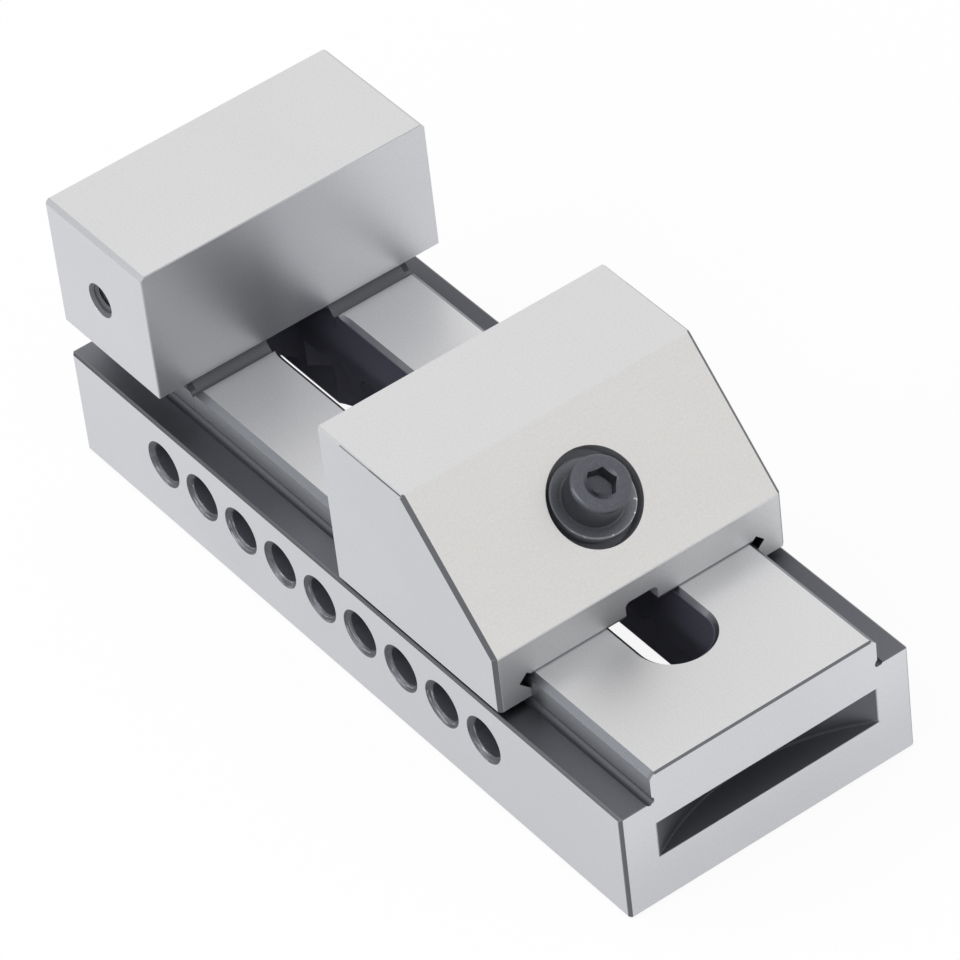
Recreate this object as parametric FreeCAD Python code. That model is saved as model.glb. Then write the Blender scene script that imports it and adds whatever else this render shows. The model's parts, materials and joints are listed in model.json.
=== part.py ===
import FreeCAD, Part
import math
import os

from FreeCAD import Vector

# Driving dimensions, in millimetres and degrees.
# The frame has its origin under the middle of the vise, on the surface that it stands on:
# +X runs from the fixed jaw to the open end, +Y across, +Z up.

# overall block
vise_length = 190.0
vise_width = 73.0
vise_height = 70.0
edge_break = 0.6
fine_edge = 0.2

# base and guide rail
ledge_height = 27.7
rail_height = 35.0
rail_width = 57.2
rail_edge_chamfer = 1.3
rail_end_edge = 0.35
foot_relief_width = 2.0
foot_relief_offset = 0.35

# fixed jaw
fixed_jaw_length = 35.0
fixed_jaw_edge = 1.0
overhang_height = 36.8
jaw_relief_width = 3.0
jaw_relief_depth = 2.9

# slot in the rail and pocket under it
slot_width = 16.2
slot_chamfer = 1.1
slot_start = 20.0
slot_end_centre = 161.4
slot_chamfer_start = 40.2
pocket_width = 29.2
pocket_height = 18.0
pocket_start = 33.4
pocket_end = 154.0
channel_width = 24.4
channel_start = 3.0
channel_height = 10.5

# cross holes, whose upper halves are the seats of the nut
seat_count = 9
seat_pitch = 14.0
seat_first = 32.0
seat_height = 16.6
seat_diameter = 9.0
seat_mouth_diameter = 11.2

# clamping pocket in each end face, cut by a disc
end_pocket_bottom = 12.2
end_pocket_opening = 9.4
end_pocket_depth = 8.0
end_pocket_radius = 54.0

# threaded hole for a work stop
stop_hole_from_end = 16.5
stop_hole_height = 52.5
stop_hole_diameter = 6.8
stop_hole_mouth = 8.3
stop_hole_depth = 20.0

# movable jaw
moving_jaw_length = 55.0
moving_jaw_flat = 28.5
jaw_opening = 61.5
leg_gap = 1.4
slope_side_edge = 0.9
slide_clearance = 0.05
leg_relief_width = 2.9
leg_relief_reach = 1.55
under_groove_width = 8.2
under_groove_height = 3.5
under_groove_radius = 1.25

# ball seat of the screw in the jaw's 45 degree face
seat_from_slope_top = 19.35
ball_depth = 1.3
counterbore_diameter = 21.2
counterbore_depth = 4.7
ball_clearance = 0.05
spring_room_diameter = 12.0
spring_room_depth = 14.6
screw_room_diameter = 8.8
swing_room_low = 47.5

# ball washer
ball_radius = 9.1
washer_rim_height = 0.65
washer_bottom = 7.2
washer_bore = 8.6
washer_rim_flat = 0.35
washer_dish_diameter = 13.6

# clamp screw, M8 x 60
screw_angle = 60.3
screw_seat = 0.25
screw_length = 60.0
shank_diameter = 7.9
head_diameter = 13.0
head_height = 8.0
head_chamfer = 0.6
socket_size = 6.0
socket_depth = 4.0
socket_turn = 20.6
tip_chamfer = 0.8

# return spring, wound from flat wire
spring_coil_diameter = 9.9
spring_wire_width = 1.1
spring_wire_height = 0.9
spring_coils = 3
spring_floor_gap = 0.7

# pull nut
nut_diameter = 12.0
nut_side_gap = 0.3
nut_bore = 8.0
nut_bore_mouth = 9.0
trunnion_diameter = 8.7
trunnion_side_gap = 0.35
nut_floor_gap = 0.2
nut_edge = 0.4

beyond = 5.0
half_length = vise_length / 2
half_width = vise_width / 2
jaw_face = fixed_jaw_length - half_length
moving_face = jaw_face + jaw_opening


def from_end(distance):
    """Place along X of a distance measured from the fixed jaw's end."""
    return distance - half_length


def prism_along_y(points, half_depth):
    """Solid with an XZ outline, centred on the middle plane."""
    wire = Part.makePolygon([Vector(x, -half_depth, z) for x, z in points + points[:1]])
    return Part.Face(wire).extrude(Vector(0, 2 * half_depth, 0))


def prism_along_x(points, start, length):
    """Solid with a YZ outline."""
    wire = Part.makePolygon([Vector(start, y, z) for y, z in points + points[:1]])
    return Part.Face(wire).extrude(Vector(length, 0, 0))


def block(x_low, x_high, width, z_low, z_high):
    """Box that is centred on the middle plane."""
    return Part.makeBox(x_high - x_low, width, z_high - z_low, Vector(x_low, -width / 2, z_low))


def cylinder_along_y(x, z, diameter, y_low, y_high):
    return Part.makeCylinder(diameter / 2, y_high - y_low, Vector(x, y_low, z), Vector(0, 1, 0))


def long_hole(x_low, x_high, width, z_low, z_high):
    """Cutter of a milled slot with round ends; x_low and x_high are the centres of the ends."""
    up = Vector(0, 0, 1)
    height = z_high - z_low
    body = block(x_low, x_high, width, z_low, z_high)
    ends = [Part.makeCylinder(width / 2, height, Vector(x, 0, z_low), up) for x in (x_low, x_high)]
    return body.fuse(ends)


def long_countersink(x_low, x_high, width, chamfer, z_top):
    """Cutter that chamfers the rim of a slot with round ends."""
    up = Vector(0, 0, 1)
    depth = chamfer + edge_break
    low, high = width / 2, width / 2 + depth
    z_low = z_top - chamfer
    outline = [(-low, z_low), (low, z_low), (high, z_low + depth), (-high, z_low + depth)]
    body = prism_along_x(outline, x_low, x_high - x_low)
    ends = [Part.makeCone(low, high, depth, Vector(x, 0, z_low), up) for x in (x_low, x_high)]
    return body.fuse(ends)


def groove_in_corner(corner, direction, width, depth):
    """Outline of a groove cut at 45 degrees into a corner, from outside it to a flat bottom."""
    along = (direction[0] / math.sqrt(2), direction[1] / math.sqrt(2))
    across = (-along[1], along[0])
    points = []
    for side, reach in ((1, -beyond), (1, depth), (-1, depth), (-1, -beyond)):
        points.append((corner[0] + along[0] * reach + across[0] * side * width / 2,
                       corner[1] + along[1] * reach + across[1] * side * width / 2))
    return points


def break_edges(shape, groups):
    """Chamfers straight edges group by group; a later group's edges only get shorter from the earlier ones."""
    middles = [[(e.Vertexes[0].Point + e.Vertexes[-1].Point) * 0.5 for e in edges] for size, edges in groups]
    for (size, edges), points in zip(groups, middles):
        kept = [e for e in shape.Edges
                if any(e.distToShape(Part.Vertex(point))[0] < 0.001 for point in points)]
        shape = shape.makeChamfer(size, kept)
    return shape


# Vise body

def base_and_rail():
    base = block(-half_length, half_length, vise_width, 0, ledge_height)
    ends = [e for e in base.Edges if e.BoundBox.ZMin > ledge_height - fine_edge and e.BoundBox.XLength < fine_edge]
    rest = [e for e in base.Edges if not any(e.isSame(end) for end in ends)]
    base = break_edges(base, [(edge_break, rest), (fine_edge, ends)])
    side = rail_width / 2
    flat = side - rail_edge_chamfer
    inside = ledge_height - beyond
    outline = [(-side, inside), (side, inside), (side, rail_height - rail_edge_chamfer), (flat, rail_height),
               (-flat, rail_height), (-side, rail_height - rail_edge_chamfer)]
    rail = prism_along_x(outline, -half_length, vise_length)
    end_edge = [e for e in rail.Edges
                if e.BoundBox.XMin > half_length - fine_edge and e.BoundBox.ZMin > rail_height - fine_edge]
    rail = rail.makeChamfer(rail_end_edge, end_edge)
    return base.fuse(rail)


def fixed_jaw():
    jaw = block(-half_length, jaw_face, vise_width, overhang_height, vise_height)
    sides = [e for e in jaw.Edges if e.BoundBox.ZMin > vise_height - fine_edge and e.BoundBox.YLength < fine_edge]
    rest = [e for e in jaw.Edges if not any(e.isSame(side) for side in sides)]
    jaw = break_edges(jaw, [(fixed_jaw_edge, sides), (fine_edge, rest)])
    neck = block(-half_length, jaw_face, rail_width, ledge_height - beyond, overhang_height + beyond)
    back_edges = [e for e in neck.Edges if e.BoundBox.XMax < -half_length + edge_break / 2]
    neck = neck.makeChamfer(edge_break, back_edges)
    return jaw.fuse(neck)


def jaw_corner_relief():
    """Groove across the foot of the fixed jaw's face."""
    lip = jaw_relief_width / math.sqrt(2)
    middle = (jaw_face + lip / 2, rail_height + lip / 2)
    outline = groove_in_corner(middle, (-1, -1), jaw_relief_width, jaw_relief_depth)
    return prism_along_y(outline, half_width + beyond)


def foot_reliefs():
    """Round bottomed groove along both feet of the rail, over the whole length."""
    cutters = []
    radius = foot_relief_width / 2
    for side in (1, -1):
        centre_y = side * (rail_width / 2 + foot_relief_offset)
        centre_z = ledge_height + foot_relief_offset
        reach = beyond / 2
        across = radius / math.sqrt(2)
        outline = [(centre_y + side * across, centre_z - across),
                   (centre_y + side * (across + reach), centre_z - across + reach),
                   (centre_y + side * (-across + reach), centre_z + across + reach),
                   (centre_y - side * across, centre_z + across)]
        start = -half_length - beyond
        length = vise_length + 2 * beyond
        cutters.append(prism_along_x(outline, start, length))
        cutters.append(Part.makeCylinder(radius, length, Vector(start, centre_y, centre_z), Vector(1, 0, 0)))
    return cutters


def rail_slot():
    cutters = [long_hole(from_end(slot_start), from_end(slot_end_centre), slot_width, -beyond, rail_height)]
    cutters.append(long_countersink(from_end(slot_chamfer_start), from_end(slot_end_centre),
                                    slot_width, slot_chamfer, rail_height))
    return cutters


def bottom_pocket():
    pocket = long_hole(from_end(pocket_start), from_end(pocket_end), pocket_width, -beyond, pocket_height)
    channel = block(from_end(channel_start), from_end(pocket_start), channel_width, -beyond, channel_height)
    return [pocket, channel]


def cross_holes():
    """Row of holes right through both walls, countersunk outside."""
    cutters = []
    sink = (seat_mouth_diameter - seat_diameter) / 2
    for index in range(seat_count):
        x = from_end(seat_first + index * seat_pitch)
        cutters.append(cylinder_along_y(x, seat_height, seat_diameter, -half_width - beyond, half_width + beyond))
        for side in (1, -1):
            mouth = Vector(x, side * half_width, seat_height)
            inward = Vector(0, -side, 0)
            cutters.append(Part.makeCone(seat_mouth_diameter / 2, seat_diameter / 2, sink, mouth, inward))
    return cutters


def end_pockets():
    cutters = []
    for side in (1, -1):
        x = side * (half_length - end_pocket_depth + end_pocket_radius)
        centre = Vector(x, 0, end_pocket_bottom)
        cutters.append(Part.makeCylinder(end_pocket_radius, end_pocket_opening, centre))
    return cutters


def stop_hole():
    """Tapped blind hole in the fixed jaw's side, at its minor diameter."""
    x = from_end(stop_hole_from_end)
    inward = Vector(0, 1, 0)
    radius = stop_hole_diameter / 2
    sink = (stop_hole_mouth - stop_hole_diameter) / 2
    mouth = Vector(x, -half_width, stop_hole_height)
    drill = Part.makeCylinder(radius, stop_hole_depth, mouth, inward)
    point = Part.makeCone(radius, 0, radius * math.tan(math.radians(31)), mouth + inward * stop_hole_depth, inward)
    countersink = Part.makeCone(stop_hole_mouth / 2, radius, sink, mouth, inward)
    return [drill.fuse([point, countersink])]


def make_vise_body():
    body = base_and_rail().fuse(fixed_jaw()).removeSplitter()
    cutters = [jaw_corner_relief()] + foot_reliefs() + rail_slot() + bottom_pocket()
    cutters += cross_holes() + end_pockets() + stop_hole()
    return body.cut(cutters).removeSplitter()


# Ball seat: the centre of the ball and the directions that the screw and its seat share

slope_drop = moving_jaw_length - moving_jaw_flat
diagonal = math.sqrt(0.5)
slope_top = Vector(moving_face + moving_jaw_flat, 0, vise_height)
slope_normal = Vector(diagonal, 0, diagonal)
slope_down = Vector(diagonal, 0, -diagonal)
ball_centre = slope_top + slope_down * seat_from_slope_top - slope_normal * ball_depth


def screw_direction(angle):
    """Unit vector from the nut to the head for an angle above the horizontal."""
    return Vector(math.cos(math.radians(angle)), 0, math.sin(math.radians(angle)))


def on_screw(shape):
    """Moves a shape from a frame with its Z on the screw and its origin in the ball's centre."""
    placed = shape.copy()
    placed.rotate(Vector(0, 0, 0), Vector(0, 1, 0), 90 - screw_angle)
    placed.translate(ball_centre)
    return placed


def fan_room(diameter, depth):
    """Room in the jaw for something round that swings with the screw between two angles."""
    radius = diameter / 2
    axes = [screw_direction(angle) for angle in (swing_room_low, screw_angle)]
    swept = [Part.makeCylinder(radius, depth, ball_centre, -axis) for axis in axes]
    tips = [ball_centre - axis * depth for axis in axes]
    outline = [(ball_centre.x, ball_centre.z)] + [(tip.x, tip.z) for tip in tips]
    return swept[0].fuse([swept[1], prism_along_y(outline, radius)])


# Movable jaw

def jaw_blank():
    back = moving_face + moving_jaw_length
    leg_bottom = ledge_height + leg_gap
    outline = [(moving_face, leg_bottom), (moving_face, vise_height), (slope_top.x, vise_height),
               (back, vise_height - slope_drop), (back, leg_bottom)]
    blank = prism_along_y(outline, half_width)
    sides = [e for e in blank.Edges if e.BoundBox.YLength < fine_edge]
    slopes = [e for e in sides if e.BoundBox.XMax > back - fine_edge and e.BoundBox.ZLength > fine_edge]
    feet = [e for e in sides if e.BoundBox.ZMax < leg_bottom + fine_edge]
    across = [e for e in blank.Edges if not any(e.isSame(side) for side in sides)]
    rest = [e for e in sides if not any(e.isSame(other) for other in slopes + feet)]
    return break_edges(blank, [(slope_side_edge, slopes), (edge_break, rest), (fine_edge, feet + across)])


def rail_channel():
    """Space of the rail between the jaw's legs, with a relief groove in each inner corner."""
    inner = rail_width / 2 + slide_clearance
    start = moving_face - beyond
    length = moving_jaw_length + 2 * beyond
    cutters = [Part.makeBox(length, 2 * inner, rail_height, Vector(start, -inner, 0))]
    for side in (1, -1):
        bottom = (side * (inner + leg_relief_reach), rail_height)
        cutters.append(prism_along_x(groove_in_corner(bottom, (side, 1), leg_relief_width, 0), start, length))
    return cutters


def under_groove():
    """Groove for the screw under the jaw, from the screw's room to the back."""
    start = ball_centre.x
    length = moving_face + moving_jaw_length + beyond - start
    groove = block(start, start + length, under_groove_width, rail_height - beyond, rail_height + under_groove_height)
    top_edges = [e for e in groove.Edges
                 if e.BoundBox.ZMin > rail_height and e.BoundBox.XLength > length / 2]
    return groove.makeFillet(under_groove_radius, top_edges)


def seat_cutters():
    mouth = ball_centre + slope_normal * (ball_depth + beyond)
    counterbore = Part.makeCylinder(counterbore_diameter / 2, counterbore_depth + beyond, mouth, -slope_normal)
    ball = Part.makeSphere(ball_radius + ball_clearance, ball_centre)
    underside_reach = (ball_centre.z - rail_height + screw_room_diameter) / math.sin(math.radians(swing_room_low))
    return [counterbore, ball, fan_room(spring_room_diameter, spring_room_depth),
            fan_room(screw_room_diameter, underside_reach)]


def make_movable_jaw():
    return jaw_blank().cut(rail_channel() + [under_groove()] + seat_cutters()).removeSplitter()


# Screw, washer, spring and nut, each built on the screw's own axis

def make_ball_washer():
    """Ball segment with a dished top for the screw's head."""
    rim_radius = math.sqrt(ball_radius ** 2 - washer_rim_height ** 2)
    bottom_radius = math.sqrt(ball_radius ** 2 - washer_bottom ** 2)
    middle_z = -(washer_bottom - washer_rim_height) / 2
    middle_radius = math.sqrt(ball_radius ** 2 - middle_z ** 2)
    bore = washer_bore / 2
    rim = Vector(rim_radius, 0, washer_rim_height)
    foot = Vector(bottom_radius, 0, -washer_bottom)
    skin = Part.Arc(rim, Vector(middle_radius, 0, middle_z), foot).toShape()
    rest = Part.makePolygon([foot, Vector(bore, 0, -washer_bottom), Vector(bore, 0, screw_seat),
                             Vector(washer_dish_diameter / 2, 0, screw_seat),
                             Vector(rim_radius - washer_rim_flat, 0, washer_rim_height), rim])
    profile = Part.Face(Part.Wire([skin] + rest.Edges))
    return on_screw(profile.revolve(Vector(0, 0, 0), Vector(0, 0, 1), 360))


def make_clamp_screw():
    """Socket head cap screw; its thread is a plain cylinder here."""
    up = Vector(0, 0, 1)
    head_top = screw_seat + head_height
    head = Part.makeCylinder(head_diameter / 2, head_height, Vector(0, 0, screw_seat))
    top_edges = [e for e in head.Edges if e.BoundBox.ZMin > screw_seat + head_height / 2]
    head = head.makeChamfer(head_chamfer, top_edges)
    shank = Part.makeCylinder(shank_diameter / 2, screw_length + screw_seat, Vector(0, 0, screw_seat - screw_length))
    tip_edges = [e for e in shank.Edges if e.BoundBox.ZMax < -screw_length / 2]
    shank = shank.makeChamfer(tip_chamfer, tip_edges)
    corner = socket_size / math.sqrt(3)
    turns = [math.radians(socket_turn + 60 * step) for step in range(7)]
    floor = head_top - socket_depth
    hexagon = Part.makePolygon([Vector(corner * math.cos(a), corner * math.sin(a), floor) for a in turns])
    socket = Part.Face(hexagon).extrude(up * (socket_depth + beyond))
    drill = Part.makeCone(0, socket_size / 2, socket_size / 4, Vector(0, 0, floor - socket_size / 4), up)
    return on_screw(head.fuse(shank).removeSplitter().cut([socket, drill]))


def make_return_spring():
    """Compression spring with ground ends, from the washer down to just above the room's floor."""
    top = -washer_bottom
    height = spring_room_depth - spring_floor_gap - washer_bottom
    pitch = height / spring_coils
    radius = spring_coil_diameter / 2
    path = Part.makeHelix(pitch, height + 2 * pitch, radius)
    inner, outer = radius - spring_wire_width / 2, radius + spring_wire_width / 2
    low, high = -spring_wire_height / 2, spring_wire_height / 2
    corners = [(inner, low), (outer, low), (outer, high), (inner, high), (inner, low)]
    section = Part.makePolygon([Vector(x, 0, z) for x, z in corners])
    coil = Part.Wire(path).makePipeShell([section], True, True)
    coil.translate(Vector(0, 0, top - height - pitch))
    reach = spring_coil_diameter
    keep = Part.makeBox(2 * reach, 2 * reach, height, Vector(-reach, -reach, top - height))
    return on_screw(coil.common(keep))


def make_pull_nut():
    """Round cross nut: a barrel in the slot, with a trunnion on each side in the pocket."""
    angle = math.radians(screw_angle)
    reach = (ball_centre.z - nut_diameter / 2 - nut_floor_gap) / math.sin(angle)
    centre = ball_centre - screw_direction(screw_angle) * reach
    barrel_half = slot_width / 2 - nut_side_gap
    trunnion_half = pocket_width / 2 - trunnion_side_gap
    barrel = cylinder_along_y(centre.x, centre.z, nut_diameter, -barrel_half, barrel_half)
    barrel = barrel.makeChamfer(nut_edge, round_edges(barrel))
    pin = cylinder_along_y(centre.x, centre.z, trunnion_diameter, -trunnion_half, trunnion_half)
    pin = pin.makeChamfer(nut_edge, round_edges(pin))
    axis = screw_direction(screw_angle)
    start = centre - axis * nut_diameter
    cutters = [Part.makeCylinder(nut_bore / 2, 2 * nut_diameter, start, axis)]
    sink = (nut_bore_mouth - nut_bore) / 2
    for side in (1, -1):
        mouth = centre + axis * side * nut_diameter / 2
        cutters.append(Part.makeCone(nut_bore_mouth / 2, nut_bore / 2, sink, mouth, axis * -side))
    return barrel.fuse(pin).cut(cutters).removeSplitter()


def round_edges(shape):
    """Circular edges of a cylinder, without its seam."""
    return [e for e in shape.Edges if isinstance(e.Curve, Part.Circle)]


def main():
    os.makedirs("parts", exist_ok=True)
    nodes = {
        "vise_body": make_vise_body(),
        "movable_jaw": make_movable_jaw(),
        "ball_washer": make_ball_washer(),
        "return_spring": make_return_spring(),
        "clamp_screw": make_clamp_screw(),
        "pull_nut": make_pull_nut(),
    }
    for name, shape in nodes.items():
        shape.exportStep(f"parts/{name}.step")
        box = shape.BoundBox
        print(name, "valid", shape.isValid(), "solids", len(shape.Solids), "volume", round(shape.Volume, 1),
              "box", [round(v, 2) for v in (box.XMin, box.XMax, box.YMin, box.YMax, box.ZMin, box.ZMax)])


main()
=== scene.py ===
import json
import math

import bmesh
import bpy
from mathutils import Matrix, Vector


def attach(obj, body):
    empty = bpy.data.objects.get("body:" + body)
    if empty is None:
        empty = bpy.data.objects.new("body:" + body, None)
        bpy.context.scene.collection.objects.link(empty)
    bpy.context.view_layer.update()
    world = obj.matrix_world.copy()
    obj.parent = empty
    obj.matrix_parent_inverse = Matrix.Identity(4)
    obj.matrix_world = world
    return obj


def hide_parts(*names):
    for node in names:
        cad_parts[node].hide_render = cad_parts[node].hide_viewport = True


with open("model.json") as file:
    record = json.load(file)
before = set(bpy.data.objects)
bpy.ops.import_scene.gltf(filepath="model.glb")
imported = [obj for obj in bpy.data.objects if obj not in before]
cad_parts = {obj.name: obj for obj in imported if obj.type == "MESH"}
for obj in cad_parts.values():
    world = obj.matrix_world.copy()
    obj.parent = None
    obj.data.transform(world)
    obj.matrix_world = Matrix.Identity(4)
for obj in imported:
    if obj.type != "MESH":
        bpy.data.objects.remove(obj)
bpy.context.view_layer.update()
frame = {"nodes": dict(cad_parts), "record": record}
print("frame loaded:", ", ".join(sorted(frame["nodes"])))

joints = {joint["name"]: joint for joint in frame["record"]["behaviour"]["joints"]}
ballCentre = Vector(joints["screw_turn"]["pos_m"])
screwUp = -Vector(joints["screw_turn"]["axis"])
slopeNormal = Vector((1, 0, 1)).normalized()
slopeDown = Vector((1, 0, -1)).normalized()
# materials count places in millimetres
perMetre = 1000.0
ballPlace = tuple(ballCentre * perMetre)


# Nodes: one place that makes them, and sums on sockets

def put(tree, kind, values=None, **settings):
    # an input is named or numbered; a socket is linked to it, anything else is typed in
    node = tree.nodes.new(kind)
    for name, value in settings.items():
        setattr(node, name, value)
    for name, value in (values or {}).items():
        if isinstance(value, bpy.types.NodeSocket):
            tree.links.new(value, node.inputs[name])
        else:
            node.inputs[name].default_value = value
    return node


def calc(tree, operation, *values, clamp=False):
    node = put(tree, "ShaderNodeMath", dict(enumerate(values)), operation=operation, use_clamp=clamp)
    return node.outputs[0]


def times(tree, first, second):
    return calc(tree, "MULTIPLY", first, second)


def vectorCalc(tree, operation, *values):
    return put(tree, "ShaderNodeVectorMath", dict(enumerate(values)), operation=operation).outputs["Vector"]


def scaled(tree, vector, amount):
    node = put(tree, "ShaderNodeVectorMath", {0: vector, "Scale": amount}, operation="SCALE")
    return node.outputs["Vector"]


def lengthOf(tree, vector):
    return put(tree, "ShaderNodeVectorMath", {0: vector}, operation="LENGTH").outputs["Value"]


def dotOf(tree, first, second):
    return put(tree, "ShaderNodeVectorMath", {0: first, 1: second}, operation="DOT_PRODUCT").outputs["Value"]


def ramp(tree, value, low, high, outLow=0.0, outHigh=1.0):
    sockets = {"Value": value, "From Min": low, "From Max": high, "To Min": outLow, "To Max": outHigh}
    return put(tree, "ShaderNodeMapRange", sockets, interpolation_type="SMOOTHSTEP").outputs["Result"]


def mixColour(tree, factor, first, second):
    return put(tree, "ShaderNodeMix", {0: factor, 6: first, 7: second}, data_type="RGBA").outputs[2]


def mixNumber(tree, factor, first, second):
    return put(tree, "ShaderNodeMix", {0: factor, 2: first, 3: second}).outputs[0]


def splitVector(tree, vector):
    return put(tree, "ShaderNodeSeparateXYZ", {"Vector": vector}).outputs


def joinVector(tree, x, y, z):
    return put(tree, "ShaderNodeCombineXYZ", {"X": x, "Y": y, "Z": z}).outputs["Vector"]


def screenColour(red, green, blue):
    # a colour as read on a screen, 0 to 255, turned to the linear numbers that a shader takes
    linear = []
    for value in (red, green, blue):
        part = value / 255
        linear.append(part / 12.92 if part <= 0.04045 else ((part + 0.055) / 1.055) ** 2.4)
    return (*linear, 1.0)


def noiseOf(tree, vector, scale, detail=2.0, roughness=0.5, distortion=0.0):
    values = {"Vector": vector, "Scale": scale, "Detail": detail, "Roughness": roughness,
              "Distortion": distortion}
    return put(tree, "ShaderNodeTexNoise", values).outputs["Fac"]


def greyAlong(tree, parts, greys):
    # greys as read on a screen, each at its place along the axis, with a little more blue
    stops = greys["stops"]
    first, last = stops[0][0], stops[-1][0]
    along = {"Value": parts[greys["axis"]], "From Min": first, "From Max": last}
    share = put(tree, "ShaderNodeMapRange", along).outputs["Result"]
    node = put(tree, "ShaderNodeValToRGB", {"Fac": share})
    elements = node.color_ramp.elements
    for place, grey in stops[1:-1]:
        elements.new((place - first) / (last - first))
    for element, (place, grey) in zip(elements, stops):
        element.color = screenColour(grey, grey + 1, grey + greys["blue"])
    return node.outputs["Color"]


def newGroup(name, inputs, outputs):
    group = bpy.data.node_groups.new(name, "ShaderNodeTree")
    for label, kind, value in inputs:
        group.interface.new_socket(label, in_out="INPUT", socket_type=kind).default_value = value
    for label, kind in outputs:
        group.interface.new_socket(label, in_out="OUTPUT", socket_type=kind)
    return group, group.nodes.new("NodeGroupInput").outputs, group.nodes.new("NodeGroupOutput").inputs


def useGroup(tree, group, values, output):
    return put(tree, "ShaderNodeGroup", values, node_tree=group).outputs[output]


# Shared effects

floatKind = "NodeSocketFloat"
vectorKind = "NodeSocketVector"
origin = (0.0, 0.0, 0.0)


def makeBoxZone():
    # 1 inside a box, falling to 0 over the softness; all in millimetres
    inputs = [("Place", vectorKind, origin), ("Low", vectorKind, origin), ("High", vectorKind, (1, 1, 1)),
              ("Softness", floatKind, 0.1)]
    group, source, target = newGroup("boxZone", inputs, [("Mask", floatKind)])
    fromLow = splitVector(group, vectorCalc(group, "SUBTRACT", source["Place"], source["Low"]))
    toHigh = splitVector(group, vectorCalc(group, "SUBTRACT", source["High"], source["Place"]))
    nearest = calc(group, "MINIMUM", fromLow["X"], toHigh["X"])
    for socket in (fromLow["Y"], toHigh["Y"], fromLow["Z"], toHigh["Z"]):
        nearest = calc(group, "MINIMUM", nearest, socket)
    group.links.new(calc(group, "DIVIDE", nearest, source["Softness"], clamp=True), target["Mask"])
    return group


def makeGrindLines():
    # long fine furrows of a surface grinder, along X, or along Y where Turned is 1; in millimetres
    inputs = [("Place", vectorKind, origin), ("Turned", floatKind, 0.0), ("Spacing", floatKind, 0.3),
              ("Length", floatKind, 30.0)]
    group, source, target = newGroup("grindLines", inputs, [("Furrows", floatKind)])
    fine = calc(group, "DIVIDE", 1.0, source["Spacing"])
    coarse = calc(group, "DIVIDE", 1.0, source["Length"])
    looks = []
    for stretch in ((coarse, fine, fine), (fine, coarse, fine)):
        placed = vectorCalc(group, "MULTIPLY", source["Place"], joinVector(group, *stretch))
        looks.append(noiseOf(group, placed, 1.0, detail=3.0, roughness=0.6))
    group.links.new(mixNumber(group, source["Turned"], *looks), target["Furrows"])
    return group


def makeCloudyTone():
    # broad uneven sheen and faint finger marks
    inputs = [("Place", vectorKind, origin), ("Size", floatKind, 30.0), ("Contrast", floatKind, 0.05)]
    group, source, target = newGroup("cloudyTone", inputs, [("Tone", floatKind)])
    scale = calc(group, "DIVIDE", 1.0, source["Size"])
    noise = noiseOf(group, source["Place"], scale, detail=3.0, distortion=0.4)
    swing = times(group, calc(group, "SUBTRACT", noise, 0.5), source["Contrast"])
    group.links.new(calc(group, "ADD", 1.0, times(group, swing, 2.0)), target["Tone"])
    return group


def makeSpecks():
    # small scattered dots, such as pits or chipped finish
    inputs = [("Place", vectorKind, origin), ("Size", floatKind, 1.0), ("Amount", floatKind, 0.3)]
    group, source, target = newGroup("specks", inputs, [("Mask", floatKind)])
    scale = calc(group, "DIVIDE", 1.0, source["Size"])
    noise = noiseOf(group, source["Place"], scale, roughness=0.7)
    # the noise at which a dot starts: the more dots, the lower it is
    fewest = 0.85
    border = 0.06
    start = calc(group, "SUBTRACT", fewest, times(group, source["Amount"], 0.5))
    group.links.new(ramp(group, noise, start, calc(group, "ADD", start, border)), target["Mask"])
    return group


def makeAxisFrame():
    # place along an axis and distance from it, in millimetres
    inputs = [("Place", vectorKind, origin), ("Centre", vectorKind, origin), ("Axis", vectorKind, (0, 0, 1))]
    group, source, target = newGroup("axisFrame", inputs, [("Along", floatKind), ("Radius", floatKind)])
    offset = vectorCalc(group, "SUBTRACT", source["Place"], source["Centre"])
    along = dotOf(group, offset, source["Axis"])
    side = vectorCalc(group, "SUBTRACT", offset, scaled(group, source["Axis"], along))
    group.links.new(along, target["Along"])
    group.links.new(lengthOf(group, side), target["Radius"])
    return group


boxZone = makeBoxZone()
grindLines = makeGrindLines()
cloudyTone = makeCloudyTone()
specks = makeSpecks()
axisFrame = makeAxisFrame()
print("shared effects built")


# Materials

def newMaterial(name):
    material = bpy.data.materials.new(name)
    material.use_nodes = True
    tree = material.node_tree
    tree.nodes.clear()
    shader = put(tree, "ShaderNodeBsdfPrincipled")
    put(tree, "ShaderNodeOutputMaterial", {"Surface": shader.outputs["BSDF"]})
    coordinates = put(tree, "ShaderNodeTexCoord")
    place = scaled(tree, coordinates.outputs["Object"], perMetre)
    return material, tree, shader, place, coordinates.outputs["Normal"]


def finishMaterial(tree, shader, colour, roughness, height, bump):
    tree.links.new(colour, shader.inputs["Base Color"])
    tree.links.new(roughness, shader.inputs["Roughness"])
    values = {"Height": height, "Strength": bump["strength"], "Distance": bump["depth"]}
    tree.links.new(put(tree, "ShaderNodeBump", values).outputs["Normal"], shader.inputs["Normal"])


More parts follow.
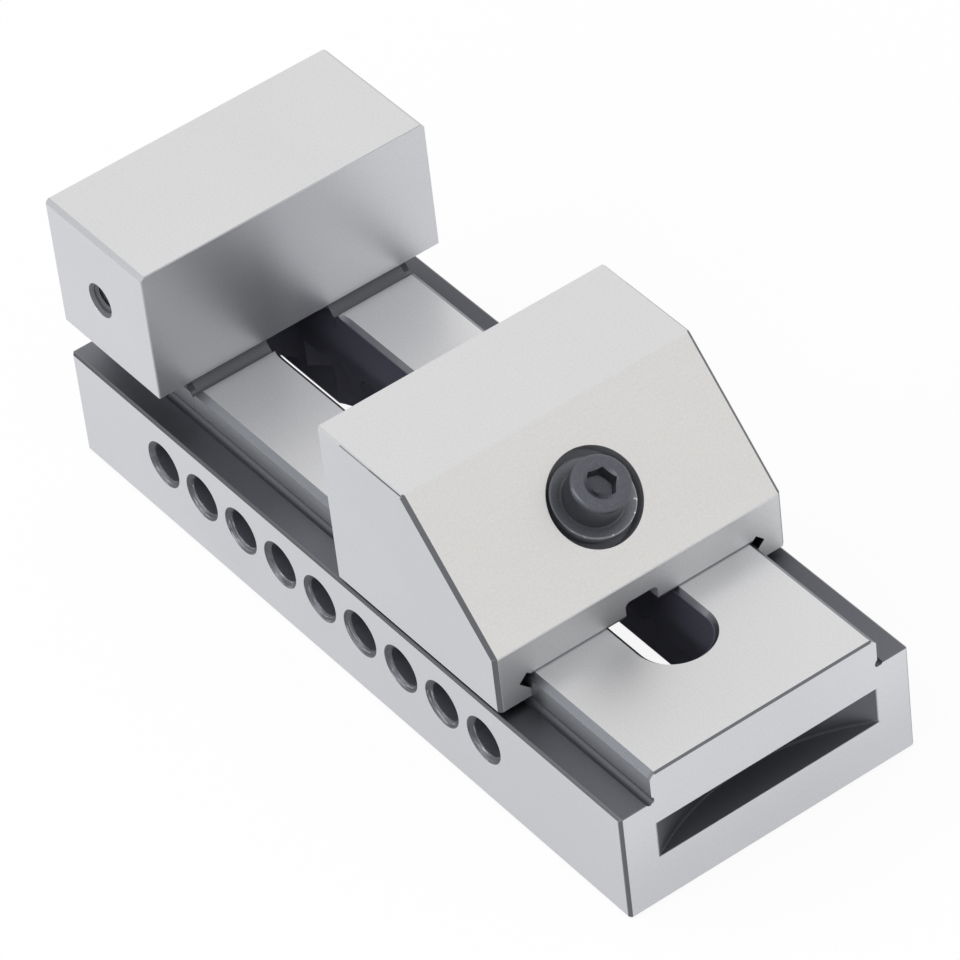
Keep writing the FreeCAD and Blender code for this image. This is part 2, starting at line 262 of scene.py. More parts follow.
groundSteel = {
    "face": screenColour(217, 217, 218),
    "uprightFace": screenColour(215, 216, 220),
    "slopeFace": screenColour(216, 215, 213),
    "chamferFacing": (0.84, 0.78),
    "turnedFacing": 0.6,
    "slopeFacing": (0.9, 0.97),
    "uprightFacing": (0.5, 0.3),
    "uprightShadeByHeight": (0.0, 50.0, 0.87, 0.93),
    "uprightShadeByLength": (-95.0, 60.0, 0.05, -0.035),
    "roughness": 0.37,
    "furrowSpacing": 0.28,
    "furrowLength": 26.0,
    "furrowTone": 0.03,
    "furrowGloss": 0.12,
    "grainSize": 0.5,
    "grainTone": 0.09,
    "cloudSize": 34.0,
    "cloudContrast": 0.03,
    "pitSize": 0.8,
    "pitAmount": 0.3,
    "pitTone": 0.08,
    "bump": {"strength": 0.25, "depth": 0.00002},
}

# Edges: how dark a chamfer is, by where it lies, in millimetres; the plain grey is the chamfers' duller
# finish, and the zones add painted light and shade by where a chamfer lies
bodyChamfers = {
    "plain": screenColour(112, 113, 117),
    "zones": {
        "fixedJaw": {"low": (-96, -37, 36.7), "high": (-59.9, 37, 71), "soft": 0.1,
                     "colour": screenColour(186, 187, 190)},
        "ledgeRim": {"low": (-96, -37, 26.9), "high": (94.4, -35.8, 28.0), "soft": 0.1,
                     "colour": screenColour(94, 94, 97)},
        "slotEdge": {"low": (-84, 8.0, 33.8), "high": (84, 9.4, 35.1), "soft": 0.1,
                     "colour": screenColour(128, 129, 134)},
        "endFoot": {"low": (94.2, -37, -0.2), "high": (95.2, 37, 0.8), "soft": 0.1,
                    "colour": screenColour(140, 141, 145)},
    },
}
jawChamfers = {
    "plain": screenColour(108, 109, 113),
    "zones": {
        "topEdge": {"low": (0, -37, 69.3), "high": (29.6, 37, 71), "soft": 0.1,
                    "colour": screenColour(188, 189, 190)},
        # painted shade: the slope's edge is painted darker, against the strip lamp's glint on it
        "slopeEdge": {"low": (29.6, -37, 43.4), "high": (57, 37, 71), "soft": 0.1,
                      "colour": screenColour(92, 93, 97)},
    },
}

# Greys along an axis. The ledge's greys are painted shade and reflection: darkest beside the movable jaw,
# which it mirrors, and lighter towards the ends
ledgeGreys = {"axis": "X", "blue": 6,
              "stops": [(-95, 122), (-78, 105), (-50, 93), (-28, 93), (-12, 110), (0, 108), (3, 82),
                        (54, 78), (62, 96), (95, 108)]}
# the slot and the bottom pocket are painted lighter where less light falls in
slotGreys = {"axis": "Z", "blue": 16, "stops": [(-1, 168), (9, 150), (18, 128), (26, 106), (34, 82)]}
# painted shade: the end pockets' floor is painted darker towards the near side, -Y
pocketFloorGreys = {"axis": "Y", "blue": 7,
                    "stops": [(-30, 88), (-19, 100), (-8, 101), (12, 102), (30, 103)]}
# painted light and shade: the jaw's back face is painted lighter towards +Y and along the middle
backFaceGreys = {"axis": "Y", "blue": 3,
                 "stops": [(-37, 210), (-12, 214), (0, 227), (23, 217), (29, 232), (37, 234)]}

# Places on the body that are not ground bright, in millimetres, X and Y counted from the middle to both
# ends; their darker greys are partly their own duller finish and partly painted shade in the grooves, holes
# and pockets
bodyZones = {
    "ledge": {"low": (-1, 28.5, 27.0), "high": (94.9, 36.12, 28.3), "soft": 0.12,
              "greys": ledgeGreys, "roughness": 0.45, "metallic": 1.0},
    "footGroove": {"low": (-1, 27.0, 26.0), "high": (94.9, 30.0, 28.75), "soft": 0.1,
                   "colour": screenColour(96, 97, 103), "roughness": 0.5, "metallic": 0.4},
    # painted shadow: a dark line in the foot groove, under the rail's side
    "footShadowLine": {"low": (-1, 27.0, 28.35), "high": (94.9, 29.0, 29.15), "soft": 0.08,
                 "colour": screenColour(66, 67, 74), "roughness": 0.5, "metallic": 0.4},
    "railSide": {"low": (-1, 28.3, 29.1), "high": (94.9, 29.0, 33.6), "soft": 0.1,
                 "colour": screenColour(206, 208, 213), "roughness": 0.45, "metallic": 1.0},
    "railEdge": {"low": (-1, 27.2, 33.6), "high": (94.2, 28.7, 35.1), "soft": 0.1,
                 "colour": screenColour(128, 131, 136), "roughness": 0.5, "metallic": 1.0},
    "slotWall": {"low": (-1, -1, 17.9), "high": (84, 8.3, 34.2), "soft": 0.15,
                 "greys": slotGreys, "roughness": 0.7, "metallic": 0.4},
    "pocket": {"low": (-1, -1, 0.1), "high": (92.3, 15.1, 21.4), "soft": 0.15,
               "greys": slotGreys, "roughness": 0.7, "metallic": 0.4},
    "crossHole": {"low": (-1, 14.8, 11.0), "high": (70, 35.4, 22.3), "soft": 0.2,
                  "colour": screenColour(122, 125, 134), "roughness": 0.5, "metallic": 0.8},
    "holeMouth": {"low": (-1, 35.3, 10.9), "high": (70, 36.45, 22.3), "soft": 0.05,
                  "colour": screenColour(106, 108, 113), "roughness": 0.5, "metallic": 1.0},
    "endPocket": {"low": (86.5, -1, 12.0), "high": (94.85, 30, 21.8), "soft": 0.15,
                  "colour": screenColour(106, 108, 114), "roughness": 0.5, "metallic": 0.9},
    "endPocketFloor": {"low": (86.5, -1, 12.0), "high": (94.85, 30, 12.4), "soft": 0.1,
                       "greys": pocketFloorGreys, "roughness": 0.6, "metallic": 0.7},
}
# edges of the open end that are broken a little wider than the rest
openEndZones = {
    "railEndEdge": {"low": (94.93, -27.3, 34.4), "high": (95.1, 27.3, 34.72), "soft": 0.03,
                    "colour": screenColour(112, 113, 117), "roughness": 0.4, "metallic": 1.0},
    "cornerEdge": {"low": (94.1, -36.6, 0.5), "high": (94.6, -36.45, 27.2), "soft": 0.03,
                   "colour": screenColour(122, 123, 127), "roughness": 0.4, "metallic": 1.0},
}
# the groove at the fixed jaw's foot, painted darker as shade in the groove, lies at 45 degrees: its box
# counts along (1, 0, 1), Y and (1, 0, -1)
jawRelief = {"low": (-19.4, -40, -68.8), "high": (-16.24, 40, -65.55), "soft": 0.03,
             "colour": screenColour(104, 105, 110), "roughness": 0.5, "metallic": 0.6}
# painted shade: the stop hole and its thread are painted dark
stopHoleZone = {"low": (-83.5, -36.47, 47.5), "high": (-73.5, -10, 57.5), "soft": 0.05,
                "colour": screenColour(104, 106, 111), "roughness": 0.8, "metallic": 0.2}
# a painted highlight: a light line where the disc cut's wall meets the floor of the end pockets
discHighlight = {"centre": (141.0, 0.0, 0.0), "radius": 54.0, "width": 0.25, "core": 0.4, "bottom": 12.0,
            "top": 12.8, "within": 94.8, "colour": screenColour(128, 130, 135)}
# painted shade: the rail's edge and sides are painted dimmer close to the jaws
besideFixed = {"low": (50, 27.25, 33.7), "high": (62, 29.5, 35.2), "soft": 0.1,
               "along": (-53.0, -60.0), "tone": 0.4}
besideMovable = {"low": (44, 27.25, 28.6), "high": (66, 29.5, 35.2), "soft": 0.1, "along": (62.5, 58.0),
                 "fade": (45.0, 56.5), "tone": 0.6}
# painted shade: the fixed jaw's face mirrors the rail and is painted duller low down towards the near side
faceShade = {"low": (-60.5, -40, 30), "high": (-59.5, 80, 90), "soft": 0.3, "up": (84.0, 44.0),
             "side": (0.0, -9.0), "tone": 0.76, "metallic": 0.78}
# rings that the countersink left in the mouths of the cross holes; the light rings, shown only on the lower
# side of each mouth, are painted glints
mouthRings = {"low": (-72, -36.47, 10.5), "high": (72, -35.3, 22.6), "soft": 0.02, "first": -63.0,
              "pitch": 14.0, "height": 16.6, "byRadius": 4.0, "byTurn": 1.6, "byHole": 0.05,
              "glintTurn": (-0.6, -1.2), "glintMarks": (0.56, 0.68), "darkMarks": (0.46, 0.36),
              "glintShare": 0.55, "darkShare": 0.45, "light": screenColour(190, 191, 195),
              "dark": screenColour(62, 63, 69)}
# painted light: the open end's face is painted lighter upwards and away from the near side
endLight = {"up": (2.0, 26.0, -0.01, 0.085), "side": (5.0, 35.0, 0.0, 0.05), "beyond": 94.9}
# marks of a chattering cutter on the rail's edge
chatter = {"low": (57, 25, 30), "high": (96.7, 31, 39), "soft": 2.0, "pitch": 0.55, "tone": 0.12}


def zoneMask(tree, place, zone):
    values = {"Place": place, "Low": zone["low"], "High": zone["high"], "Softness": zone["soft"]}
    return useGroup(tree, boxZone, values, "Mask")


def steelTone(tree, settings, place, furrows):
    # what clouds, furrows, pits and grain do to the colour, as a factor
    clouds = {"Place": place, "Size": settings["cloudSize"], "Contrast": settings["cloudContrast"]}
    tone = useGroup(tree, cloudyTone, clouds, "Tone")
    furrowTone = times(tree, calc(tree, "SUBTRACT", furrows, 0.5), settings["furrowTone"] * 2)
    tone = calc(tree, "ADD", tone, furrowTone)
    pitValues = {"Place": place, "Size": settings["pitSize"], "Amount": settings["pitAmount"]}
    pits = useGroup(tree, specks, pitValues, "Mask")
    tone = calc(tree, "SUBTRACT", tone, times(tree, pits, settings["pitTone"]))
    grain = calc(tree, "SUBTRACT", noiseOf(tree, place, 1 / settings["grainSize"]), 0.5)
    return calc(tree, "ADD", tone, times(tree, grain, settings["grainTone"] * 2))


def steelBase(name, settings, chamfers, keepSlope):
    # bright ground faces, dull chamfers; the slope counts as a face, not as a chamfer
    material, tree, shader, place, normal = newMaterial(name)
    facing = splitVector(tree, vectorCalc(tree, "ABSOLUTE", normal))
    straight = calc(tree, "MAXIMUM", calc(tree, "MAXIMUM", facing["X"], facing["Y"]), facing["Z"])
    upSlope = dotOf(tree, normal, tuple(slopeNormal))
    if keepSlope:
        straight = calc(tree, "MAXIMUM", straight, upSlope)
    chamfer = ramp(tree, straight, *settings["chamferFacing"])
    lines = {"Place": place, "Turned": calc(tree, "GREATER_THAN", facing["X"], settings["turnedFacing"]),
             "Spacing": settings["furrowSpacing"], "Length": settings["furrowLength"]}
    furrows = useGroup(tree, grindLines, lines, "Furrows")
    # painted shade: upright faces mirror the floor and are painted duller, most so low down and towards the
    # open end
    upright = ramp(tree, facing["Z"], *settings["uprightFacing"])
    spot = splitVector(tree, place)
    paintedDulling = calc(tree, "ADD", ramp(tree, spot["Z"], *settings["uprightShadeByHeight"]),
                   ramp(tree, spot["X"], *settings["uprightShadeByLength"]))
    tone = times(tree, steelTone(tree, settings, place, furrows), mixNumber(tree, upright, 1.0, paintedDulling))
    # painted reflection tints: upright faces are painted a little bluer, and the slope a little warmer
    face = mixColour(tree, upright, settings["face"], settings["uprightFace"])
    if keepSlope:
        face = mixColour(tree, ramp(tree, upSlope, *settings["slopeFacing"]), face, settings["slopeFace"])
    chamferColour = chamfers["plain"]
    for zone in chamfers["zones"].values():
        chamferColour = mixColour(tree, zoneMask(tree, place, zone), chamferColour, zone["colour"])
    gloss = settings["furrowGloss"]
    roughness = calc(tree, "ADD", settings["roughness"] - gloss / 2, times(tree, furrows, gloss))
    look = {"colour": mixColour(tree, chamfer, face, chamferColour), "roughness": roughness, "metallic": 1.0,
            "tone": tone, "furrows": furrows, "chamfer": chamfer}
    return material, tree, shader, place, look


def paintZone(tree, look, mask, finish):
    look["colour"] = mixColour(tree, mask, look["colour"], finish["colour"])
    look["roughness"] = mixNumber(tree, mask, look["roughness"], finish["roughness"])
    look["metallic"] = mixNumber(tree, mask, look["metallic"], finish["metallic"])


def paintZones(tree, look, place, parts, zones):
    # place is what the boxes are compared with, parts the unmirrored place for greys along an axis
    for zone in zones:
        finish = zone
        if "greys" in zone:
            finish = dict(zone, colour=greyAlong(tree, parts, zone["greys"]))
        paintZone(tree, look, zoneMask(tree, place, zone), finish)


def closeSteel(tree, shader, look, settings):
    tree.links.new(look["metallic"], shader.inputs["Metallic"])
    toned = scaled(tree, look["colour"], look["tone"])
    finishMaterial(tree, shader, toned, look["roughness"], look["furrows"], settings["bump"])


def rippleChamfers(tree, look, mirrored, parts):
    wave = calc(tree, "SINE", times(tree, parts["X"], math.tau / chatter["pitch"]))
    where = times(tree, zoneMask(tree, mirrored, chatter), look["chamfer"])
    ripple = times(tree, times(tree, wave, where), chatter["tone"])
    look["tone"] = calc(tree, "ADD", look["tone"], ripple)


def shadeBesideJaws(tree, look, mirrored, parts):
    # painted shade on the rail beside both jaws
    nearFixed = times(tree, ramp(tree, parts["X"], *besideFixed["along"]),
                      zoneMask(tree, mirrored, besideFixed))
    paintedDimming = mixNumber(tree, nearFixed, 1.0, besideFixed["tone"])
    nearMovable = times(tree, ramp(tree, parts["X"], *besideMovable["along"]),
                        zoneMask(tree, mirrored, besideMovable))
    nearMovable = times(tree, nearMovable, ramp(tree, parts["X"], *besideMovable["fade"]))
    paintedDimming = times(tree, paintedDimming, mixNumber(tree, nearMovable, 1.0, besideMovable["tone"]))
    look["tone"] = times(tree, look["tone"], paintedDimming)


def shadeFixedFace(tree, look, place, parts):
    onFace = zoneMask(tree, place, faceShade)
    look["metallic"] = mixNumber(tree, onFace, look["metallic"], faceShade["metallic"])
    shaded = times(tree, ramp(tree, parts["Z"], *faceShade["up"]),
                   ramp(tree, parts["Y"], *faceShade["side"]))
    paintedDulling = mixNumber(tree, times(tree, shaded, onFace), 1.0, faceShade["tone"])
    look["tone"] = times(tree, look["tone"], paintedDulling)


def paintLightOnOpenEnd(tree, look, parts):
    # painted light on the open end's face
    lift = calc(tree, "ADD", ramp(tree, parts["Z"], *endLight["up"]),
                ramp(tree, parts["Y"], *endLight["side"]))
    onEnd = calc(tree, "GREATER_THAN", parts["X"], endLight["beyond"])
    look["tone"] = calc(tree, "ADD", look["tone"], times(tree, lift, onEnd))


def paintMouthRings(tree, look, place, parts):
    # X counted from the nearest hole's axis, by the holes' pitch
    pitch = mouthRings["pitch"]
    shifted = calc(tree, "SUBTRACT", parts["X"], mouthRings["first"] - pitch / 2)
    across = calc(tree, "SUBTRACT", calc(tree, "FLOORED_MODULO", shifted, pitch), pitch / 2)
    rise = calc(tree, "SUBTRACT", parts["Z"], mouthRings["height"])
    radius = calc(tree, "SQRT", calc(tree, "ADD", times(tree, across, across), times(tree, rise, rise)))
    turn = calc(tree, "ARCTAN2", rise, across)
    spread = joinVector(tree, times(tree, radius, mouthRings["byRadius"]),
                        times(tree, turn, mouthRings["byTurn"]),
                        times(tree, parts["X"], mouthRings["byHole"]))
    marks = noiseOf(tree, spread, 1.0, detail=3.0)
    onMouth = zoneMask(tree, place, mouthRings)
    # painted glints: the light rings show only on the lower side of each mouth
    lower = times(tree, onMouth, ramp(tree, turn, *mouthRings["glintTurn"]))
    light = times(tree, ramp(tree, marks, *mouthRings["glintMarks"]), lower)
    dark = times(tree, ramp(tree, marks, *mouthRings["darkMarks"]), onMouth)
    dark = times(tree, dark, mouthRings["darkShare"])
    look["colour"] = mixColour(tree, dark, look["colour"], mouthRings["dark"])
    light = times(tree, light, mouthRings["glintShare"])
    look["colour"] = mixColour(tree, light, look["colour"], mouthRings["light"])


def paintDiscHighlight(tree, look, mirrored, parts):
    # painted highlight along the edge of the disc cut
    values = {"Place": mirrored, "Centre": discHighlight["centre"], "Axis": (0, 0, 1)}
    fromArc = calc(tree, "SUBTRACT", useGroup(tree, axisFrame, values, "Radius"), discHighlight["radius"])
    width = discHighlight["width"]
    arc = ramp(tree, calc(tree, "ABSOLUTE", fromArc), width, width * discHighlight["core"])
    arc = times(tree, arc, calc(tree, "LESS_THAN", parts["Z"], discHighlight["top"]))
    arc = times(tree, arc, calc(tree, "GREATER_THAN", parts["Z"], discHighlight["bottom"]))
    arc = times(tree, arc, calc(tree, "LESS_THAN", calc(tree, "ABSOLUTE", parts["X"]), discHighlight["within"]))
    look["colour"] = mixColour(tree, arc, look["colour"], discHighlight["colour"])


def makeBodySteel():
    material, tree, shader, place, look = steelBase("bodySteel", groundSteel, bodyChamfers, False)
    parts = splitVector(tree, place)
    mirrored = vectorCalc(tree, "ABSOLUTE", place)
    paintZones(tree, look, mirrored, parts, bodyZones.values())
    rippleChamfers(tree, look, mirrored, parts)
    shadeBesideJaws(tree, look, mirrored, parts)
    shadeFixedFace(tree, look, place, parts)
    paintLightOnOpenEnd(tree, look, parts)
    paintMouthRings(tree, look, place, parts)
    paintZones(tree, look, place, parts, (*openEndZones.values(), stopHoleZone))
    tilted = joinVector(tree, dotOf(tree, place, tuple(slopeNormal)), parts["Y"],
                        dotOf(tree, place, tuple(slopeDown)))
    paintZones(tree, look, tilted, parts, (jawRelief,))
    paintDiscHighlight(tree, look, mirrored, parts)
    closeSteel(tree, shader, look, groundSteel)
    return material


# the counterbore, below the slope; the ball lies a little deeper than the slope
boreFinish = {"ballDepth": 1.3, "radius": 10.75, "depths": (-0.12, -0.36),
              "colour": screenColour(152, 153, 159), "roughness": 0.7, "metallic": 0.1}
# places on the jaw, with Y counted from the middle to both sides
jawZones = {
    "backFace": {"low": (56.45, -1, 28), "high": (58, 35.65, 43.5), "soft": 0.03,
                 "greys": backFaceGreys, "roughness": 0.62, "metallic": 1.0},
    "seam": {"low": (56.3, -1, 34.0), "high": (58, 28.75, 35.4), "soft": 0.12,
             "colour": screenColour(140, 141, 145), "roughness": 0.6, "metallic": 1.0},
    "underGroove": {"low": (30, -1, 34.9), "high": (56.42, 4.25, 38.7), "soft": 0.12,
                    "colour": screenColour(184, 188, 200), "roughness": 0.7, "metallic": 0.4},
    # painted shade: a dark line along the lower border of the jaw's top edges, darker towards the slope
    "topEdgeLine": {"low": (9, 35.7, 69.5), "high": (29.7, 37, 69.78), "soft": 0.08,
                    "colour": screenColour(124, 125, 129), "roughness": 0.5, "metallic": 1.0},
    "topEdgeEnd": {"low": (19, 35.7, 69.5), "high": (29.7, 37, 69.78), "soft": 0.08,
                   "colour": screenColour(96, 97, 101), "roughness": 0.5, "metallic": 1.0},
}


def makeJawSteel():
    material, tree, shader, place, look = steelBase("jawSteel", groundSteel, jawChamfers, True)
    slopePoint = ballCentre * perMetre + slopeNormal * boreFinish["ballDepth"]
    frameValues = {"Place": place, "Centre": tuple(slopePoint), "Axis": tuple(slopeNormal)}
    along = useGroup(tree, axisFrame, frameValues, "Along")
    radius = useGroup(tree, axisFrame, frameValues, "Radius")
    within = calc(tree, "LESS_THAN", radius, boreFinish["radius"])
    below = ramp(tree, along, *boreFinish["depths"])
    paintZone(tree, look, times(tree, within, below), boreFinish)
    paintZones(tree, look, vectorCalc(tree, "ABSOLUTE", place), splitVector(tree, place), jawZones.values())
    closeSteel(tree, shader, look, groundSteel)
    return material


blackOxide = {
    "worn": screenColour(215, 215, 215),
    "rubbed": screenColour(150, 152, 156),
    "shadow": (0.0, 0.0, 0.0, 1.0),
    "metallic": 0.6,
    "grainScale": 2.2,
    "ringScale": 3.0,
    "blotches": (0.45, 0.7),
    "blotchShare": 0.5,
    "shadeReach": (2.6, 0.2),
    "socketRadius": (3.2, 2.6),
    "socketHeight": (6.5, 5.0),
    "socketShade": 0.08,
    "sideShadeFacing": (0.15, 0.75),
    "rimFade": (0.3, 0.05),
    "heightFade": 0.1,
    "wornFrom": (-0.5, 3.0),
    "chipSize": 0.8,
    "dustSize": 0.35,
    "dustAmount": 0.35,
    "dustFrom": (4.0, 8.0),
    "dustShare": 0.6,
    "glossBase": 0.05,
    "glossSpread": 0.12,
    "grainHeight": 0.6,
    "ringHeight": 0.4,
    "bump": {"strength": 0.3, "depth": 0.00003},
}
# edge is the radius of the rim whose finish is chipped, low and high the heights between which it lies
# inner and side set how dark the painted shade is towards the middle and on faces that look sideways
screwBlack = {"name": "screwFinish", "colour": screenColour(86, 88, 95),
              "light": screenColour(108, 110, 117), "roughness": 0.31, "edge": 6.5, "low": 7.0, "high": 8.3,
              "chips": 0.2, "inner": 1.0, "rub": 0.0, "side": 0.62}
washerBlack = {"name": "washerFinish", "colour": screenColour(116, 118, 124),
               "light": screenColour(139, 141, 147), "roughness": 0.4, "edge": 9.05, "low": 0.3,
               "high": 0.75, "chips": 0.5, "inner": 0.78, "rub": 1.0, "side": 1.0}
# the side of the screw that is worn: down the slope, a little to the right; and chips on the washer's rim
wornSide = (0.761, 0.152, -0.628)
rimChips = [{"place": (47.3, 7.55, 53.6), "size": 0.34}, {"place": (47.0, 7.2, 53.75), "size": 0.26},
            {"place": (49.25, 5.45, 52.45), "size": 0.26}, {"place": (50.7, -1.3, 51.65), "size": 0.2}]
chipCore = 0.6


def rimMask(tree, settings, along, radius, worn):
    # the worn part of the rim, between the settings' heights
    edge = settings["edge"]
    fade = blackOxide["heightFade"]
    onEdge = ramp(tree, radius, *(edge - reach for reach in blackOxide["rimFade"]))
    between = times(tree, ramp(tree, along, settings["low"] - fade, settings["low"]),
                    ramp(tree, along, settings["high"] + fade, settings["high"]))
    return times(tree, times(tree, onEdge, between), worn)


def makeBlackOxide(settings):
    material, tree, shader, place, normal = newMaterial(settings["name"])
    frameValues = {"Place": place, "Centre": ballPlace, "Axis": tuple(screwUp)}
    along = useGroup(tree, axisFrame, frameValues, "Along")
    radius = useGroup(tree, axisFrame, frameValues, "Radius")
    grain = noiseOf(tree, place, blackOxide["grainScale"], detail=4.0, roughness=0.65)
    rings = noiseOf(tree, joinVector(tree, radius, 0.0, along), blackOxide["ringScale"])
    blotch = times(tree, ramp(tree, grain, *blackOxide["blotches"]), blackOxide["blotchShare"])
    colour = mixColour(tree, blotch, settings["colour"], settings["light"])
    # darker towards the middle, where the head shades it
    shadeEdges = (settings["edge"] - reach for reach in blackOxide["shadeReach"])
    colour = scaled(tree, colour, ramp(tree, radius, *shadeEdges, settings["inner"], 1.0))
    inSocket = times(tree, ramp(tree, radius, *blackOxide["socketRadius"]),
                     ramp(tree, along, *blackOxide["socketHeight"]))
    colour = mixColour(tree, times(tree, inSocket, blackOxide["socketShade"]), colour, blackOxide["shadow"])
    # painted shade: the head's side and the socket's walls are painted darker than what faces up the screw
    upright = calc(tree, "ABSOLUTE", dotOf(tree, normal, tuple(screwUp)))
    colour = scaled(tree, colour, ramp(tree, upright, *blackOxide["sideShadeFacing"], settings["side"], 1.0))
    towards = dotOf(tree, vectorCalc(tree, "SUBTRACT", place, ballPlace), wornSide)
    onRim = rimMask(tree, settings, along, radius, ramp(tree, towards, *blackOxide["wornFrom"]))
    colour = mixColour(tree, times(tree, onRim, settings["rub"]), colour, blackOxide["rubbed"])
    chipValues = {"Place": place, "Size": blackOxide["chipSize"], "Amount": settings["chips"]}
    chips = useGroup(tree, specks, chipValues, "Mask")
    colour = mixColour(tree, times(tree, onRim, chips), colour, blackOxide["worn"])
    for chip in rimChips:
        distance = lengthOf(tree, vectorCalc(tree, "SUBTRACT", place, chip["place"]))
        bare = times(tree, ramp(tree, distance, chip["size"], chip["size"] * chipCore), settings["rub"])
        colour = mixColour(tree, bare, colour, blackOxide["worn"])
    dustValues = {"Place": place, "Size": blackOxide["dustSize"], "Amount": blackOxide["dustAmount"]}
    dust = times(tree, useGroup(tree, specks, dustValues, "Mask"), settings["rub"])
    dusty = times(tree, ramp(tree, towards, *blackOxide["dustFrom"]), dust)
    colour = mixColour(tree, times(tree, dusty, blackOxide["dustShare"]), colour, blackOxide["rubbed"])
    roughness = calc(tree, "ADD", settings["roughness"] - blackOxide["glossBase"],
                     times(tree, grain, blackOxide["glossSpread"]))
    height = calc(tree, "ADD", times(tree, grain, blackOxide["grainHeight"]),
                  times(tree, rings, blackOxide["ringHeight"]))
    shader.inputs["Metallic"].default_value = blackOxide["metallic"]
    finishMaterial(tree, shader, colour, roughness, height, blackOxide["bump"])
    return material


hiddenSteel = {
    "spring": {"colour": screenColour(150, 150, 152), "dark": screenColour(105, 105, 108),
               "roughness": 0.35},
    "nut": {"colour": screenColour(140, 140, 141), "dark": screenColour(98, 98, 100), "roughness": 0.4},
    "stretch": (0.3, 6.0, 0.3),
    "filmScale": 0.35,
    "film": (0.35, 0.7),
    "ringGloss": 0.1,
    "bump": {"strength": 0.3, "depth": 0.00003},
}


def makeTurnedSteel(name, settings):
    # drawn or turned steel, with rings across Y and a thin uneven film
    material, tree, shader, place = newMaterial(name)[:4]
    rings = noiseOf(tree, vectorCalc(tree, "MULTIPLY", place, hiddenSteel["stretch"]), 1.0, detail=3.0)
    film = ramp(tree, noiseOf(tree, place, hiddenSteel["filmScale"], detail=4.0), *hiddenSteel["film"])
    colour = mixColour(tree, film, settings["colour"], settings["dark"])
    roughness = calc(tree, "ADD", settings["roughness"], times(tree, rings, hiddenSteel["ringGloss"]))
    shader.inputs["Metallic"].default_value = 1.0
    finishMaterial(tree, shader, colour, roughness, rings, hiddenSteel["bump"])
    return material


bodySteel = makeBodySteel()
jawSteel = makeJawSteel()
screwFinish = makeBlackOxide(screwBlack)
washerFinish = makeBlackOxide(washerBlack)
springFinish = makeTurnedSteel("springFinish", hiddenSteel["spring"])
nutFinish = makeTurnedSteel("nutFinish", hiddenSteel["nut"])


def dress(node, material):
    cadObject = frame["nodes"][node]
    if not cadObject.material_slots:
        cadObject.data.materials.append(material)
    for materialSlot in cadObject.material_slots:
        materialSlot.material = material


for cadNode, finish in (("vise_body", bodySteel), ("movable_jaw", jawSteel), ("ball_washer", washerFinish),
                        ("return_spring", springFinish), ("pull_nut", nutFinish)):
    dress(cadNode, finish)
print("CAD nodes dressed")


# Pieces

def onScrew():
    # from a frame with Z up the screw and the ball's centre at its origin, to the vise's frame
    turn = Vector((0, 0, 1)).rotation_difference(screwUp).to_matrix().to_4x4()
    return Matrix.Translation(ballCentre) @ turn


def keepMesh(name, mesh, material, sharpAngle):
    piece = bpy.data.objects.new(name, mesh)
    bpy.context.scene.collection.objects.link(piece)
    mesh.materials.clear()
    mesh.materials.append(material)
    mesh.polygons.foreach_set("use_smooth", [True] * len(mesh.polygons))
    mesh.set_sharp_from_angle(angle=math.radians(sharpAngle))
    return piece


# lengths in metres, heights from the ball's centre up the screw, angles in degrees;
# the drilled floor of the socket in shares of socketFlat
clampScrew = {
    "seat": 0.00025,
    "length": 0.060,
    "headRadius": 0.0065,
    "headHeight": 0.008,
    "topRounding": 0.0013,
    "footBreak": 0.0002,
    "socketFlat": 0.003,
    "socketDepth": 0.004,
    "socketMouth": 0.0003,
    "socketSlope": 0.75,
    "socketTurn": 20.6,
    "floorEdge": 0.97,
    "drillTip": 0.1,
    "drillDepth": 0.45,
    "shankRadius": 0.00395,
    "threadCore": 0.0033,
    "threadLength": 0.028,
    "threadRunout": 0.0012,
    "threadStart": 0.0007,
    "tipBreak": 0.0008,
    "steps": 96,
    "roundSteps": 8,
    "sharpAngle": 32,
}


def circleRing(radius, height, turns):
    return [Vector((radius * math.cos(turn), radius * math.sin(turn), height)) for turn in turns]


def hexagonRing(flat, height, turns, firstCorner, mouth=0.0, slope=0.0):
    # half across flats is flat; a corner falls on firstCorner; a cone from the mouth's radius cuts scallops
    ring = []
    for turn in turns:
        fromFlat = (turn - firstCorner) % (math.pi / 3) - math.pi / 6
        reach = flat / math.cos(fromFlat)
        drop = max(mouth - reach, 0.0) * slope
        ring.append(Vector((reach * math.cos(turn), reach * math.sin(turn), height - drop)))
    return ring


def stitchRings(name, rings):
    # skins one ring to the next, and closes both ends with a fan
    shape = bmesh.new()
    loops = [[shape.verts.new(point) for point in ring] for ring in rings]
    count = len(loops[0])
    for lower, upper in zip(loops, loops[1:]):
        for step in range(count):
            after = (step + 1) % count
            shape.faces.new((lower[step], lower[after], upper[after], upper[step]))
    for loop in (loops[0], loops[-1]):
        middle = shape.verts.new(sum((vertex.co for vertex in loop), Vector()) / count)
        for step in range(count):
            shape.faces.new((loop[step], middle, loop[(step + 1) % count]))
    bmesh.ops.recalc_face_normals(shape, faces=shape.faces[:])
    mesh = bpy.data.meshes.new(name)
    shape.to_mesh(mesh)
    shape.free()
    return mesh


